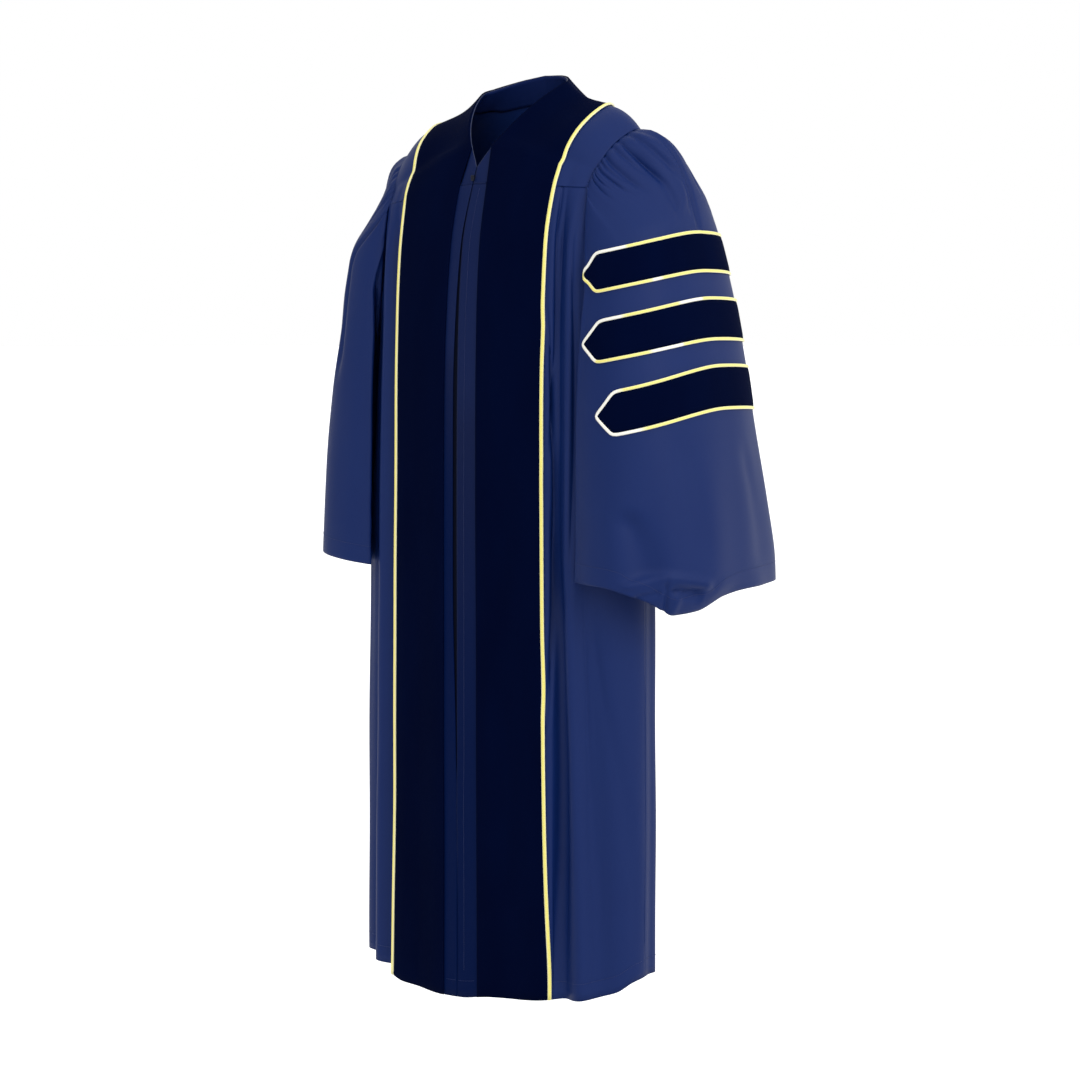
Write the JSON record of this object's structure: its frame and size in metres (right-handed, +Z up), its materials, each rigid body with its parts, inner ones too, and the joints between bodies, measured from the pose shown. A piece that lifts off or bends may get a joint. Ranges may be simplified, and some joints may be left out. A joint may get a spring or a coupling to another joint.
{
  "type": "graduation gown",
  "caption": "Worn, hollow doctoral graduation gown in blue cloth, with dark velvet front bands, piped pointed sleeve bars, wide open sleeves and a concealed front zip.",
  "frame": {"origin": "the nape, at the neckline's centre back, where the wearer holds the gown up", "axes": "+Z up, -Y the gown's front, +X the wearer's left"},
  "size_m": [0.6892, 0.3526, 1.3059],
  "materials": {
    "gown_cloth": "plain weave with a soft sheen",
    "velvet": "velvet pile",
    "piping_satin": "satin",
    "neck_facing_cloth": "matt plain weave",
    "zip_tape_cloth": "matt woven tape",
    "slider_metal": "dark enamel"
  },
  "bodies": {
    "root": {"back": "gown_cloth", "band_left": "velvet", "band_piping_left": "piping_satin", "band_piping_right": "piping_satin", "band_right": "velvet", "bar_lower_left": "velvet", "bar_lower_right": "velvet", "bar_middle_left": "velvet", "bar_middle_right": "velvet", "bar_piping_lower_left": "piping_satin", "bar_piping_lower_right": "piping_satin", "bar_piping_middle_left": "piping_satin", "bar_piping_middle_right": "piping_satin", "bar_piping_upper_left": "piping_satin", "bar_piping_upper_right": "piping_satin", "bar_upper_left": "velvet", "bar_upper_right": "velvet", "front_left": "gown_cloth", "front_right": "gown_cloth", "neck_facing": "neck_facing_cloth", "sleeve_left": "gown_cloth", "sleeve_right": "gown_cloth", "yoke": "gown_cloth", "zip_slider": "slider_metal", "zip_tape": "zip_tape_cloth"}
  },
  "joints": []
}
